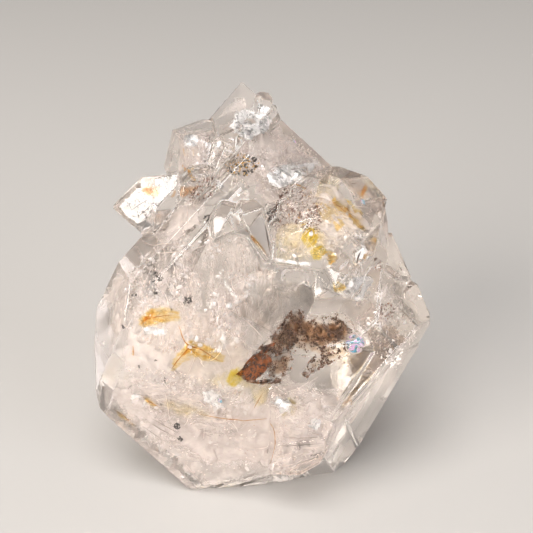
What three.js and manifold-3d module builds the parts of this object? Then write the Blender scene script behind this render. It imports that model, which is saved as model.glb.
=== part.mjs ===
// A group of doubly terminated quartz crystals of the Herkimer kind, grown together into one solid.
// One broad crystal stands on the end of its pyramid; smaller ones grew on its shoulders and back.
// Millimetres, +Z up. The group rests on z = 0, with the origin under the middle of its outline.

import * as THREE from "three";
import { ConvexGeometry } from "three/addons/geometries/ConvexGeometry.js";
import { mergeVertices } from "three/addons/utils/BufferGeometryUtils.js";
import Module from "manifold-3d";

const wasm = await Module();
wasm.setup();

// ---------------------------------------------------------------- quartz angles, in degrees
const PRISM = 90; // the normals of the prism faces stand square to the c axis
const TOP = 51.8; // the normals of the pyramid faces lean this far from +c
const BOTTOM = 180 - TOP; // and this far from it at the other end
const SIXTH = 60; // the faces of one form repeat every sixth of a turn

// ---------------------------------------------------------------- the broad main crystal
// Each face is [azimuth, lean of its normal from the c axis, distance from the centre].
// They lie up to a few degrees off the ideal angles, as growth left them.
const MAIN = {
  centre: [0, 0, 22],
  heading: 36.4,
  tilt: 53.4,
  spin: -123.6,
  faces: {
    front: [-8, 94, 10.6],
    frontRight: [57, 92, 18.1],
    backRight: [120, 90, 22.6],
    back: [180, 90, 18.9],
    backLeft: [242, 88.3, 16],
    frontLeft: [298.4, 91.3, 19.3],
    topFront: [-3, 42.7, 16.9],
    topRight: [60, TOP, 22.8],
    topBackRight: [128.4, 51.5, 13],
    topBack: [177, 52.8, 12.7],
    topBackLeft: [240, TOP, 25.5],
    topLeft: [300, TOP, 30],
    footUpper: [354, 106, 11.9],
    footMiddle: [358, 120, 13.1],
    footFront: [1.2, 132.3, 13.8],
    footRight: [55.2, 129.7, 19.3],
    footBack: [183.7, 130.7, 17.8],
    footBackLeft: [240.9, 127.5, 21.2],
    footLeft: [301.3, 131.2, 20.8],
    cornerLeft: [290, 121, 20.9],
  },
};

// Layers of later growth on the main crystal: some faces moved out, the faces around them drawn in,
// so that a low ledge runs across a face, parallel to one of its edges.
const LAYER_MARGIN = 0.12; // every face that a layer doesn't name is drawn in by this much
const LAYERS = [
  { front: 0.15, frontLeft: -1.8, topFront: -3, footUpper: -0.7 },
  { footFront: 0.15, footLeft: -1.6, front: -1, footMiddle: -0.8 },
  { footRight: 0.3, footFront: -1.2, frontRight: -2 },
  { footRight: 0.55, footFront: -2.4, frontRight: -3 },
  { topFront: 0.2, topBack: -2, front: -2, topBackRight: -14, frontLeft: -2 },
  { frontRight: 0.25, front: -1.4, footRight: -3, topFront: -4 },
  { footLeft: 0.25, footFront: -1.5, backLeft: -3, cornerLeft: -2.5 },
  { footLeft: 0.45, footFront: -2.6, backLeft: -4.5, cornerLeft: -4 },
  { back: 0.6, backLeft: -4, topBack: -3, topBackRight: -3, footBack: -2 },
  { back: 1.2, backLeft: -8, topBack: -5, topBackRight: -4.5, footBack: -4 },
  { backRight: 0.6, frontRight: -4, topBackRight: -3, back: -3 },
];

// Raised plates with outlines of their own. Each outline is convex and is given on its face in
// [across, along the c axis] from the foot of the perpendicular to the crystal's centre. A third
// number is the rise at that corner, where the plate runs out into the face.
const PLATE_ROOT = 1; // how deep a plate's sides reach into the crystal
const PLATE_TAPER = 0.93; // size of a plate's top against its root
const PLATES = [
  {
    // upper plate on the right of the front face, with a scalloped right-hand edge
    face: "front",
    rise: 0.5,
    outline: [[0.1, 6, 0.03], [6.5, 15.5, 0.3], [10.5, 9.4], [10.6, 7.8], [10, 4.9], [5.3, 2.1, 0.03]],
  },
  {
    // lower plate, whose edge curves back to the foot
    face: "front",
    rise: 0.7,
    outline: [
      [5.1, 0.3, 0.03],
      [10, 4.9, 0.4],
      [12.9, 6.1],
      [13.3, 3.9],
      [13, 1.4],
      [14.3, -4.4, 0.4],
      [11, -6.5, 0.03],
      [7.4, -6.2, 0.03],
    ],
  },
  {
    // narrow blade beside the stout front spur
    face: "front",
    rise: 2.1,
    outline: [[-11.8, 7.6], [-10.1, 10.4], [-3.9, 6], [-5.1, 5.4], [-8.5, 6.2]],
  },
  {
    // pad on the upper face, beside the ridge
    face: "topFront",
    rise: 0.5,
    outline: [[-13.5, 2], [-9.2, 12.7], [-5.8, 11], [-8.6, 3.7]],
  },
  {
    // block on the right half of the foot, up to the seam between the two halves
    face: "footFront",
    rise: 0.3,
    outline: [[4.1, 2.3], [13.3, 4.3], [16.1, -0.4], [15.9, -4.5], [13.2, -8.2]],
  },
  {
    // second step of the block, which starts at a level ledge
    face: "footFront",
    rise: 0.5,
    outline: [[10.3, -3.3], [13.7, 3.5], [16.1, -0.4], [15.9, -4.5], [13.2, -8.1]],
  },
  {
    // third step, from a lower ledge
    face: "footFront",
    rise: 0.7,
    outline: [[11.8, -5], [15.3, 1.6], [16.1, -0.4], [15.9, -4.5], [13.3, -8]],
  },
];

// ---------------------------------------------------------------- the smaller crystals
// Distances from each centre to the six faces of a form, in turn from azimuth 0.
const SPURS = [
  {
    // left spur, with one broad bright face
    centre: [-14.6, 1.8, 37.7],
    heading: 32.8,
    tilt: 53.8,
    spin: -149.4,
    prism: [3.9, 3.9, 5, 5, 2.6, 3.8],
    top: [8, 8, 2.6, 6, 8, 4.2],
    bottom: [2.9, 9, 6, 1.4, 5, 7],
  },
  {
    // upper left spur, which points its end at the front
    centre: [-8.7, 9.4, 41.3],
    heading: -108.8,
    tilt: 46.8,
    spin: 123.2,
    prism: [4.1, 5.1, 2.3, 4.3, 5, 5],
    top: [7, 5.5, 7, 4.9, 7, 7],
    bottom: [9, 9, 9, 9, 9, 9],
  },
  {
    // top spur, in line with the main crystal, which ends in the highest point
    centre: [-3.6, 9.3, 46.3],
    heading: 37.2,
    tilt: 52.7,
    spin: -124.1,
    prism: [5, 8, 8, 2, 4, 1.8],
    top: [2.1, 9, 4, 5, 9, 9],
    bottom: [7, 8, 9, 7, 7, 2.8],
  },
  {
    // blunt knuckle on the ridge beside the top spur
    centre: [0.1, 11.5, 48.4],
    heading: 56,
    tilt: 22.7,
    spin: -128.1,
    prism: [1.5, 1.1, 1.5, 1.5, 1.2, 1.6],
    top: [1.1, 1.9, 1.5, 1.3, 1.8, 1.6],
    bottom: [4, 4, 4, 4, 4, 4],
  },
  {
    // second knuckle, a step down the ridge
    centre: [1.2, 11.4, 47.2],
    heading: 48.7,
    tilt: 67.4,
    spin: -108.5,
    prism: [1.3, 1.5, 1.3, 1.3, 1.3, 1.3],
    top: [0.8, 1.7, 1.3, 1.7, 1.7, 1.1],
    bottom: [4, 4, 4, 4, 4, 4],
  },
  {
    // stout front spur over the upper edge of the front face
    centre: [8, -4.4, 38.7],
    heading: 34,
    tilt: 60.3,
    spin: -132.1,
    prism: [5, 8, 4.2, 9, 8.2, 3.9],
    top: [3.5, 9, 9, 7.8, 7.2, 6.5],
    bottom: [3.8, 8, 5.7, 7.1, 9.1, 4.5],
  },
  {
    // earlier layer of the stout spur, which shows as a step below it
    centre: [8, -4.4, 38.7],
    heading: 34,
    tilt: 60.3,
    spin: -132.1,
    prism: [3.4, 7, 3, 8, 7, 2.9],
    top: [2.4, 8, 8, 6.5, 6, 5.5],
    bottom: [5, 8, 5, 6.5, 8.5, 5.3],
  },
  {
    // small spur under the stout one
    centre: [10, -6.1, 33.4],
    heading: 74,
    tilt: 85.8,
    spin: -101.9,
    prism: [2.4, 3.5, 2.9, 3.6, 2.2, 4.5],
    top: [4.5, 4.5, 4.5, 4.5, 4.5, 2.3],
    bottom: [4.5, 4, 3.6, 3.1, 4.5, 4.5],
  },
  {
    // lobe that joins the front spurs to the right-hand face
    centre: [12.3, -2.9, 33],
    heading: 38,
    tilt: 64.1,
    spin: -93.8,
    prism: [2.8, 6.5, 3.9, 4, 4, 4],
    top: [3.8, 3.7, 3.8, 5.4, 6.4, 5.7],
    bottom: [5.2, 8, 5.9, 5, 5, 5],
  },
  {
    // upper step of the right-hand ridge
    centre: [17.4, 0.6, 31],
    heading: 40.5,
    tilt: 52.1,
    spin: -126.3,
    prism: [3, 3.7, 3, 3, 3, 3],
    top: [0.8, 3, 1.2, 3, 3.6, 3],
    bottom: [3, 3.3, 3, 3, 3, 3],
  },
  {
    // lower step of the right-hand ridge
    centre: [20.1, -2.9, 26.6],
    heading: 38,
    tilt: 52.8,
    spin: -124.7,
    prism: [2.6, 3.2, 2.6, 2.6, 2.6, 2.6],
    top: [1.1, 3, 0.8, 3, 3, 1.8],
    bottom: [3, 3, 3, 3, 3, 3],
  },
  {
    // stout spur low on the back, which stands on the same plane as the main crystal
    stands: true,
    centre: [-5, 12, 8],
    heading: 100,
    tilt: 70,
    spin: 20,
    prism: [6, 6.5, 6, 5.5, 6, 6.5],
    top: [7, 6, 6.5, 7.5, 6, 7],
    bottom: [9, 9, 9, 9, 9, 9],
  },
  {
    // spur on the middle of the back
    centre: [3, 13.5, 27],
    heading: 70,
    tilt: 62,
    spin: 8,
    prism: [5, 4.5, 5.2, 4.8, 5, 4.4],
    top: [6.5, 5, 6, 5.2, 6.8, 5],
    bottom: [9, 9, 9, 9, 9, 9],
  },
  {
    // small spur high on the back
    centre: [6.5, 13.5, 36],
    heading: 115,
    tilt: 40,
    spin: -30,
    prism: [2.6, 3, 2.8, 2.6, 3, 2.8],
    top: [3.4, 3.8, 3, 3.6, 3.2, 3.8],
    bottom: [6, 6, 6, 6, 6, 6],
  },
];

// Rows of little crystals along the seams between the big ones: the ends of each row, how many
// there are, and the radius of the largest.
const BUD_ROWS = [
  { from: [-11, 2, 39], to: [-5.8, 1.6, 42], count: 3, radius: 2.5 },
  { from: [-7, 6, 43], to: [-2.6, 4.6, 45.4], count: 3, radius: 2.4 },
  { from: [1.6, 1, 41.6], to: [5.4, 3, 41.4], count: 2, radius: 2.1 },
  { from: [-5.5, -2.2, 37.5], to: [-1.5, -2.6, 38.5], count: 2, radius: 2.2 },
  { from: [-2, 13.4, 20], to: [8, 12.8, 22], count: 4, radius: 2.6 },
  { from: [-11.5, 11, 26], to: [-7.5, 10.6, 34], count: 4, radius: 2.6 },
];
const BUD_SCATTER = 0.7; // how far a bud strays from the line of its row
const BUD_TURN = 28; // how far its axis turns from the main crystal's, in degrees
const BUD_SMALLEST = 0.6; // radius of the smallest bud against the row's largest
const BUD_SIDE = 0.85; // nearest that a side face may come, against the bud's radius
const BUD_END = 1; // the same for a face of its pyramids
const BUD_UNEVEN = 0.25; // how much farther out a face may lie

// Shallow scars where a chip has broken away: centre and half-lengths of each hollow.
const CHIPS = [
  { at: [-6.5, -10.6, 0.2], size: [1.1, 0.7, 0.5] },
  { at: [-2.4, -9.7, 0.1], size: [0.8, 0.7, 0.45] },
  { at: [1.5, -8.9, 0.3], size: [1.3, 0.8, 0.5] },
  { at: [5.6, -7.9, 0.1], size: [0.9, 0.6, 0.5] },
];

const GROUP_COLOUR = "#e6dad1";
const GROUP_ROUGHNESS = 0.08;

// ---------------------------------------------------------------- planes of a crystal
const radians = THREE.MathUtils.degToRad;

/** Outward normal of a face in the crystal's own frame, whose c axis is +Z. */
function faceNormal(azimuth, lean) {
  const across = Math.sin(radians(lean));
  const along = Math.cos(radians(lean));
  return new THREE.Vector3(
    across * Math.cos(radians(azimuth)),
    across * Math.sin(radians(azimuth)),
    along,
  );
}

/** Turns and moves a crystal from its own frame into the group. */
function crystalFrame({ centre, heading, tilt, spin }) {
  return new THREE.Matrix4()
    .makeRotationZ(radians(heading))
    .multiply(new THREE.Matrix4().makeRotationY(radians(tilt)))
    .multiply(new THREE.Matrix4().makeRotationZ(radians(spin)))
    .setPosition(...centre);
}

/** The planes that bound a crystal, from its list of [azimuth, lean, distance]. */
function facePlanes(crystal, faces) {
  const frame = crystalFrame(crystal);
  return faces.map(([azimuth, lean, distance]) =>
    new THREE.Plane(faceNormal(azimuth, lean), -distance).applyMatrix4(frame),
  );
}

/** The eighteen faces of a crystal with a full prism and a pyramid at both ends. */
function quartzFaces({ prism, top, bottom }) {
  const form = (distances, lean) => distances.map((distance, k) => [SIXTH * k, lean, distance]);
  return [...form(prism, PRISM), ...form(top, TOP), ...form(bottom, BOTTOM)];
}

// ---------------------------------------------------------------- solids
const RESTING_PLANE = new THREE.Plane(new THREE.Vector3(0, 0, -1), 0);
const CLEAR_OF_REST = new THREE.Plane(new THREE.Vector3(0, 0, -1), 0.15); // ends 0.15 mm above it
const SAME_POINT = 1e-3; // points closer than this are one corner
const PARALLEL = 1e-6; // three planes that span less than this have no corner in common

/** The point where three planes meet, or null where two of them are parallel. */
function meetingPoint(a, b, c) {
  const bc = new THREE.Vector3().crossVectors(b.normal, c.normal);
  const volume = a.normal.dot(bc);
  if (Math.abs(volume) < PARALLEL) return null;
  const ca = new THREE.Vector3().crossVectors(c.normal, a.normal);
  const ab = new THREE.Vector3().crossVectors(a.normal, b.normal);
  return bc
    .multiplyScalar(-a.constant)
    .addScaledVector(ca, -b.constant)
    .addScaledVector(ab, -c.constant)
    .divideScalar(volume);
}

/** Corners of the space that lies behind all the planes. */
function cornersWithin(planes) {
  const corners = [];
  for (let i = 0; i < planes.length; i += 1) {
    for (let j = i + 1; j < planes.length; j += 1) {
      for (let k = j + 1; k < planes.length; k += 1) {
        const point = meetingPoint(planes[i], planes[j], planes[k]);
        if (!point) continue;
        if (planes.some((plane) => plane.distanceToPoint(point) > SAME_POINT / 2)) continue;
        if (corners.every((other) => other.distanceTo(point) > SAME_POINT)) corners.push(point);
      }
    }
  }
  return corners;
}

/** A closed three.js geometry as a manifold solid. */
function solidFrom(geometry) {
  const bare = geometry.clone();
  bare.deleteAttribute("normal");
  bare.deleteAttribute("uv");
  const merged = mergeVertices(bare, SAME_POINT / 10);
  return new wasm.Manifold(
    new wasm.Mesh({
      numProp: 3,
      vertProperties: new Float32Array(merged.attributes.position.array),
      triVerts: new Uint32Array(merged.index.array),
    }),
  );
}

/** The convex solid behind a set of planes. */
function solidWithin(planes) {
  return solidFrom(new ConvexGeometry(cornersWithin(planes)));
}

/** A manifold solid as a three.js geometry with flat faces. */
function geometryFrom(solid) {
  const mesh = solid.getMesh();
  const geometry = new THREE.BufferGeometry();
  geometry.setAttribute("position", new THREE.BufferAttribute(mesh.vertProperties, mesh.numProp));
  geometry.setIndex(new THREE.BufferAttribute(mesh.triVerts, 1));
  const faceted = geometry.toNonIndexed();
  faceted.computeVertexNormals();
  return faceted;
}

// ---------------------------------------------------------------- the pieces that grow together
function mainCrystal() {
  return solidWithin([...facePlanes(MAIN, Object.values(MAIN.faces)), RESTING_PLANE]);
}

/** The main crystal again, with each named face moved out or in by the layer's amount. */
function growthLayer(moves) {
  const faces = Object.entries(MAIN.faces).map(([name, [azimuth, lean, distance]]) => [
    azimuth,
    lean,
    distance + (moves[name] ?? -LAYER_MARGIN),
  ]);
  return solidWithin([...facePlanes(MAIN, faces), CLEAR_OF_REST]);
}

function spur(crystal) {
  const floor = crystal.stands ? RESTING_PLANE : CLEAR_OF_REST;
  return solidWithin([...facePlanes(crystal, quartzFaces(crystal)), floor]);
}

/** A low plate on one face of the main crystal, with sides that slope in to its top. */
function plate({ face, rise, outline }) {
  const frame = crystalFrame(MAIN);
  const [azimuth, lean, distance] = MAIN.faces[face];
  const outward = faceNormal(azimuth, lean);
  const along = new THREE.Vector3(0, 0, 1).projectOnPlane(outward).normalize();
  const across = new THREE.Vector3().crossVectors(along, outward);
  const middle = outline
    .reduce(([u, v], [nextU, nextV]) => [u + nextU, v + nextV])
    .map((sum) => sum / outline.length);
  const ring = (heights, scale) =>
    outline.map(([u, v], k) =>
      outward
        .clone()
        .multiplyScalar(distance + heights[k])
        .addScaledVector(across, middle[0] + scale * (u - middle[0]))
        .addScaledVector(along, middle[1] + scale * (v - middle[1]))
        .applyMatrix4(frame),
    );
  const roots = outline.map(() => -PLATE_ROOT);
  const rises = outline.map(([, , ownRise]) => ownRise ?? rise);
  const whole = solidFrom(new ConvexGeometry([...ring(roots, 1), ...ring(rises, PLATE_TAPER)]));
  return whole.trimByPlane([0, 0, 1], -CLEAR_OF_REST.constant);
}

let seed = 2024;
/** The next of a fixed run of numbers between 0 and 1. */
function nextNumber() {
  seed = (seed * 16807) % 2147483647;
  return seed / 2147483647;
}
const between = (low, high) => low + (high - low) * nextNumber();

/** Little crystals spaced along a row, each with its own size and turn. */
function budRow({ from, to, count, radius }) {
  const start = new THREE.Vector3(...from);
  const end = new THREE.Vector3(...to);
  return Array.from({ length: count }, (_, k) => {
    const centre = start.clone().lerp(end, (k + 0.5) / count);
    const strays = new THREE.Vector3(between(-1, 1), between(-1, 1), between(-1, 1));
    centre.addScaledVector(strays, BUD_SCATTER);
    const size = radius * between(BUD_SMALLEST, 1);
    const uneven = (nearest) =>
      Array.from({ length: 6 }, () => size * between(nearest, nearest + BUD_UNEVEN));
    return spur({
      centre: centre.toArray(),
      heading: MAIN.heading + between(-BUD_TURN, BUD_TURN),
      tilt: MAIN.tilt + between(-BUD_TURN, BUD_TURN),
      spin: MAIN.spin + between(-BUD_TURN, BUD_TURN),
      prism: uneven(BUD_SIDE),
      top: uneven(BUD_END),
      bottom: uneven(BUD_END),
    });
  });
}

function chip({ at, size }) {
  const hollow = new THREE.IcosahedronGeometry(1, 2);
  hollow.scale(...size);
  hollow.translate(...at);
  return solidFrom(hollow);
}

// ---------------------------------------------------------------- the group
function crystalGroupGeometry() {
  const grown = [
    mainCrystal(),
    ...LAYERS.map(growthLayer),
    ...PLATES.map(plate),
    ...SPURS.map(spur),
    ...BUD_ROWS.flatMap(budRow),
  ];
  const joined = grown.reduce((whole, piece) => whole.add(piece));
  const finished = CHIPS.map(chip).reduce((whole, hollow) => whole.subtract(hollow), joined);
  const geometry = geometryFrom(finished);
  geometry.computeBoundingBox();
  const middle = geometry.boundingBox.getCenter(new THREE.Vector3());
  return geometry.translate(-middle.x, -middle.y, 0);
}

const crystalGroup = new THREE.Mesh(
  crystalGroupGeometry(),
  new THREE.MeshStandardMaterial({ color: GROUP_COLOUR, roughness: GROUP_ROUGHNESS, metalness: 0 }),
);
crystalGroup.name = "crystal_group";

const herkimerGroup = new THREE.Group();
herkimerGroup.add(crystalGroup);

export default herkimerGroup;
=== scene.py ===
import math
import random

import bpy
from mathutils import Matrix, Vector, noise
from mathutils.bvhtree import BVHTree


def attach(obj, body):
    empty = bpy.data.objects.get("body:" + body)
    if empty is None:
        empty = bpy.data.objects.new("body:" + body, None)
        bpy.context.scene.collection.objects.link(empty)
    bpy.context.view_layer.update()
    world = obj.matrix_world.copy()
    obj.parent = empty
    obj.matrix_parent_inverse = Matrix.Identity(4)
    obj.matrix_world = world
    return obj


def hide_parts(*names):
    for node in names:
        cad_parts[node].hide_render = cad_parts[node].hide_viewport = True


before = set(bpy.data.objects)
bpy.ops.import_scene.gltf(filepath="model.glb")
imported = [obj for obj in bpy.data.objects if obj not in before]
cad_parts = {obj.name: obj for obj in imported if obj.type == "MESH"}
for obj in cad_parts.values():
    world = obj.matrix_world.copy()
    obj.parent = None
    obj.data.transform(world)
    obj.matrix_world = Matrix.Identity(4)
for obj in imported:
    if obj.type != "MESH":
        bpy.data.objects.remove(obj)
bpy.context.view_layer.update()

# ---------------------------------------------------------------- the camera
# A long lens on a tripod, at arm's length from the specimen, a little above it and square to its broad
# front face.
MM = 0.001
AIM = Vector((0.6, -2.6, 30.0)) * MM
CAMERA_DISTANCE = 150 * MM
CAMERA_ELEVATION = math.radians(28)
LENS = 76.0
SENSOR = 36.0
NEAREST_SEEN = 10 * MM
FARTHEST_SEEN = 10

TOWARDS_CAMERA = Vector((0, -math.cos(CAMERA_ELEVATION), math.sin(CAMERA_ELEVATION)))
VIEW_UP = Vector((0, math.sin(CAMERA_ELEVATION), math.cos(CAMERA_ELEVATION)))
EYE = AIM + TOWARDS_CAMERA * CAMERA_DISTANCE

bpy.ops.object.camera_add(location=EYE)
camera = bpy.context.object
camera.name = "camera"
camera.rotation_euler = (-TOWARDS_CAMERA).to_track_quat("-Z", "Y").to_euler()
camera.data.lens = LENS
camera.data.sensor_width = SENSOR
camera.data.clip_start = NEAREST_SEEN
camera.data.clip_end = FARTHEST_SEEN
bpy.context.scene.camera = camera

# ---------------------------------------------------------------- the quartz
# One solid of clear quartz, grown as a cluster of doubly ended crystals. Its faces were made by growth:
# flat and bright, with low ledges, fine growth lines and edges that are no longer knife sharp.
MERGED = 0.001 * MM
GRAIN = 0.17 * MM
EDGE_WEAR = 7
WAVE_HEIGHT = 0.05 * MM
WAVE_SPAN = 3.5 * MM
KEPT_SHARE = 0.3
QUARTZ_IOR = 1.544
RIPPLES_PER_METRE = 900.0
RIPPLE_HEIGHT = 0.05 * MM
POLISHED = 0.02
FROSTED = 0.38
CLEAR_UP_TO = -2 * MM
FROSTED_FROM = 8 * MM


def linear(hex_colour):
    """An sRGB hex colour as linear RGBA."""
    parts = [int(hex_colour[i : i + 2], 16) / 255 for i in (1, 3, 5)]
    return [c / 12.92 if c <= 0.04045 else ((c + 0.055) / 1.055) ** 2.4 for c in parts] + [1.0]


def add_node(material, kind, settings=None, links=None):
    """Adds one node, with its settings by name or number of socket, and its links likewise."""
    node = material.node_tree.nodes.new(kind)
    for name, value in (settings or {}).items():
        if isinstance(name, int) or name in node.inputs:
            node.inputs[name].default_value = value
        else:
            setattr(node, name, value)
    for name, source in (links or {}).items():
        material.node_tree.links.new(source, node.inputs[name])
    return node


def new_material(name):
    """A material with no nodes yet."""
    material = bpy.data.materials.new(name)
    material.use_nodes = True
    material.node_tree.nodes.clear()
    return material


def new_piece(name, data):
    """A piece of the scene made of a mesh or a curve, at the origin."""
    piece = bpy.data.objects.new(name.replace(" ", "_"), data)
    bpy.context.scene.collection.objects.link(piece)
    return piece


def take(piece):
    """Makes a piece the only one selected, and the active one."""
    bpy.ops.object.select_all(action="DESELECT")
    piece.select_set(True)
    bpy.context.view_layer.objects.active = piece


def apply_modifier(piece, name, kind, **settings):
    """Gives a piece a modifier and applies it at once."""
    take(piece)
    modifier = piece.modifiers.new(name, kind)
    for key, value in settings.items():
        setattr(modifier, key, value)
    bpy.ops.object.modifier_apply(modifier=name)


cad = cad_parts["crystal_group"]
quartz = new_piece("quartz", cad.data.copy())
quartz.data.materials.clear()
take(quartz)
bpy.ops.object.mode_set(mode="EDIT")
bpy.ops.mesh.select_all(action="SELECT")
bpy.ops.mesh.remove_doubles(threshold=MERGED)
bpy.ops.object.mode_set(mode="OBJECT")
apply_modifier(quartz, "even grain", "REMESH", mode="VOXEL", voxel_size=GRAIN)
apply_modifier(quartz, "true faces", "SHRINKWRAP", target=cad, wrap_method="NEAREST_SURFACEPOINT")
apply_modifier(quartz, "worn edges", "SMOOTH", factor=0.5, iterations=EDGE_WEAR)
waves = bpy.data.textures.new("growth waves", "CLOUDS")
waves.noise_scale = WAVE_SPAN
waves.noise_depth = 1
apply_modifier(
    quartz, "growth waves", "DISPLACE",
    texture=waves, texture_coords="LOCAL", strength=WAVE_HEIGHT, mid_level=0.5,
)
apply_modifier(quartz, "fewer triangles", "DECIMATE", decimate_type="COLLAPSE", ratio=KEPT_SHARE)
bpy.ops.object.shade_smooth()
apply_modifier(quartz, "flat faces shade flat", "WEIGHTED_NORMAL", mode="FACE_AREA", weight=100)

# Rock crystal, grown and never cut: clear and bright as glass, faintly rippled every 1.1 mm, with a breath
# of warmth where the light goes a long way. From inside, its skin turns frosted towards the back, where the
# faces are etched, so that what shows through grows soft with depth.
clear_quartz = new_material("clear quartz")
spot = add_node(clear_quartz, "ShaderNodeTexCoord")
ripple = add_node(
    clear_quartz,
    "ShaderNodeTexNoise",
    {"Scale": RIPPLES_PER_METRE, "Detail": 3.0, "Roughness": 0.55},
    {"Vector": spot.outputs["Object"]},
)
relief = {"Strength": 0.12, "Distance": RIPPLE_HEIGHT}
bump = add_node(clear_quartz, "ShaderNodeBump", relief, {"Height": ripple.outputs["Fac"]})
depth = add_node(clear_quartz, "ShaderNodeSeparateXYZ", links={"Vector": spot.outputs["Object"]})
haze = add_node(
    clear_quartz,
    "ShaderNodeMapRange",
    {"From Min": CLEAR_UP_TO, "From Max": FROSTED_FROM, "To Min": 0.0, "To Max": FROSTED},
    {"Value": depth.outputs["Y"]},
)
side_met = add_node(clear_quartz, "ShaderNodeNewGeometry")
haze_under_the_skin = add_node(
    clear_quartz,
    "ShaderNodeMath",
    {"operation": "MULTIPLY_ADD", 2: POLISHED},
    {0: side_met.outputs["Backfacing"], 1: haze.outputs["Result"]},
)
glass = add_node(
    clear_quartz,
    "ShaderNodeBsdfPrincipled",
    {"Base Color": linear("#fff9f5"), "IOR": QUARTZ_IOR, "Transmission Weight": 1.0},
    {"Normal": bump.outputs["Normal"], "Roughness": haze_under_the_skin.outputs["Value"]},
)
tint = add_node(clear_quartz, "ShaderNodeVolumeAbsorption", {"Color": linear("#ede4d9"), "Density": 12.0})
skins = {"Surface": glass.outputs["BSDF"], "Volume": tint.outputs["Volume"]}
add_node(clear_quartz, "ShaderNodeOutputMaterial", links=skins)
quartz.data.materials.append(clear_quartz)
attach(quartz, "root")
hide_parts("crystal_group")

# ---------------------------------------------------------------- the rust point and the brown cloud
# Earthy iron oxide and fine clay that the quartz grew around, lying in thin uneven sheets behind the front
# face: a rust-red point, with a brown cloud that runs on from it in a band, a swirl and a lobe.
SKIN = 0.12 * MM
SHALLOWEST = 0.2
FEWEST_CELLS = 4
RUFFLE_SPAN = 1.3
CRINKLE_SPAN = 0.5
TORN = 8
HAZE_THICKNESS = 0.1
surface = BVHTree.FromPolygons([v.co for v in cad.data.vertices], [list(p.vertices) for p in cad.data.polygons])
# Seeded, so that every sheet and thread ruffles in the same way each time.
noise.seed_set(7)


def line_of_sight(across, up):
    """The direction from the camera to a place on the plane through its aim, in mm from the middle."""
    return (AIM + Vector((across, 0, 0)) * MM + VIEW_UP * up * MM - EYE).normalized()


def face_seen(across, up):
    """The place and outward normal of the face that this line of sight meets."""
    place, normal, _, _ = surface.ray_cast(EYE, line_of_sight(across, up))
    return place, normal


def behind(face, across, up, depth):
    """The place that shows at (across, up) through a face, depth mm inside it, as quartz bends the light."""
    place, normal = face
    sight = line_of_sight(across, up)
    entry = EYE + sight * ((place - EYE).dot(normal) / sight.dot(normal))
    cosine = -sight.dot(normal)
    inward = sight / QUARTZ_IOR
    inward += normal * (cosine / QUARTZ_IOR - math.sqrt(1 - (1 - cosine**2) / QUARTZ_IOR**2))
    return entry + inward * (depth * MM / -inward.dot(normal))


def within(place, margin=SKIN):
    """True if a place lies inside the quartz, and at least a margin under its skin."""
    nearest, normal, _, _ = surface.find_nearest(place)
    return (place - nearest).dot(normal) < -margin


def middle_of(outline):
    """The mean of an outline's corners."""
    return [sum(point[i] for point in outline) / len(outline) for i in (0, 1)]


def box_of(outline):
    """The low and the high corner of the box round an outline."""
    return [[end(point[i] for point in outline) for i in (0, 1)] for end in (min, max)]


def inside_outline(outline, across, up):
    """True if a place lies within an outline, by counting the edges to its right."""
    crossings = 0
    for (x1, y1), (x2, y2) in zip(outline, outline[1:] + outline[:1]):
        if (y1 > up) != (y2 > up) and across < x1 + (up - y1) * (x2 - x1) / (y2 - y1):
            crossings += 1
    return crossings % 2 == 1


def from_edge(outline, across, up):
    """How far a place is from the nearest side of an outline, in mm."""
    nearest = math.inf
    for (x1, y1), (x2, y2) in zip(outline, outline[1:] + outline[:1]):
        side_x, side_y = x2 - x1, y2 - y1
        share = ((across - x1) * side_x + (up - y1) * side_y) / (side_x**2 + side_y**2)
        share = max(0.0, min(1.0, share))
        nearest = min(nearest, math.hypot(across - x1 - side_x * share, up - y1 - side_y * share))
    return nearest


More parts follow.
